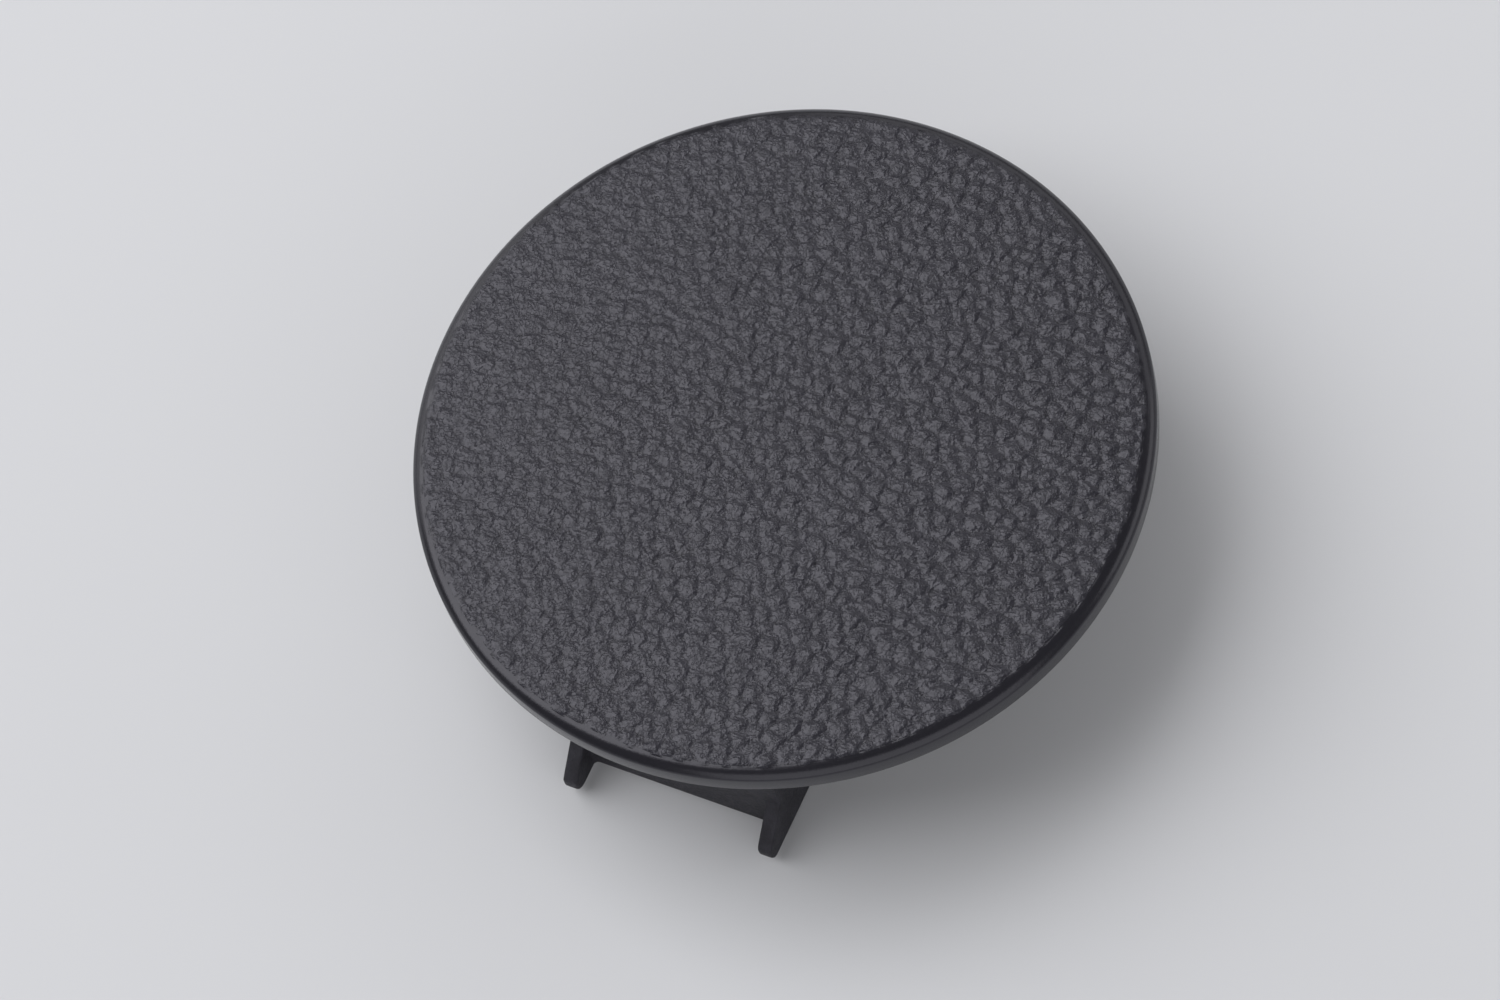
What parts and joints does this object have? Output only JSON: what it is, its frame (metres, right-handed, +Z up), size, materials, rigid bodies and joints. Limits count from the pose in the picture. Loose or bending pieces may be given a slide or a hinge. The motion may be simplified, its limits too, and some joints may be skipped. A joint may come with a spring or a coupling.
{
  "type": "desk grommet cap",
  "caption": "Round snap-in cap that closes a cable hole in a desk top, with a pebble-grained face, a smooth rounded rim and sprung clips underneath.",
  "frame": {"origin": "on the cap's axis, in the plane of the surface that the rim rests on", "axes": "+Z up, out of the grained face; the front clip stands at -Y and the rear clip at +Y; X runs along the clips"},
  "size_m": [0.06, 0.06, 0.0174],
  "materials": {
    "cap_plastic": "charcoal moulded plastic: pebbled leather grain on the face, smooth satin rim",
    "clip_plastic": "near-black moulded plastic with a fine spark-eroded texture"
  },
  "bodies": {
    "cap": {"cap": "cap_plastic", "front_clip_foot": "clip_plastic", "rear_clip_foot": "clip_plastic"},
    "front_leg": {"front_clip_leg": "clip_plastic"},
    "rear_leg": {"rear_clip_leg": "clip_plastic"}
  },
  "joints": [
    {"name": "front_clip_flex", "type": "hinge", "parent": "cap", "child": "front_leg", "pos_m": [0, -0.02475, -0.0009], "axis": [1, 0, 0], "range_deg": [-2, 12], "stiffness_Nm_per_rad": 0.8},
    {"name": "rear_clip_flex", "type": "hinge", "parent": "cap", "child": "rear_leg", "pos_m": [0, 0.02475, -0.0009], "axis": [-1, 0, 0], "range_deg": [-2, 12], "stiffness_Nm_per_rad": 0.8}
  ]
}
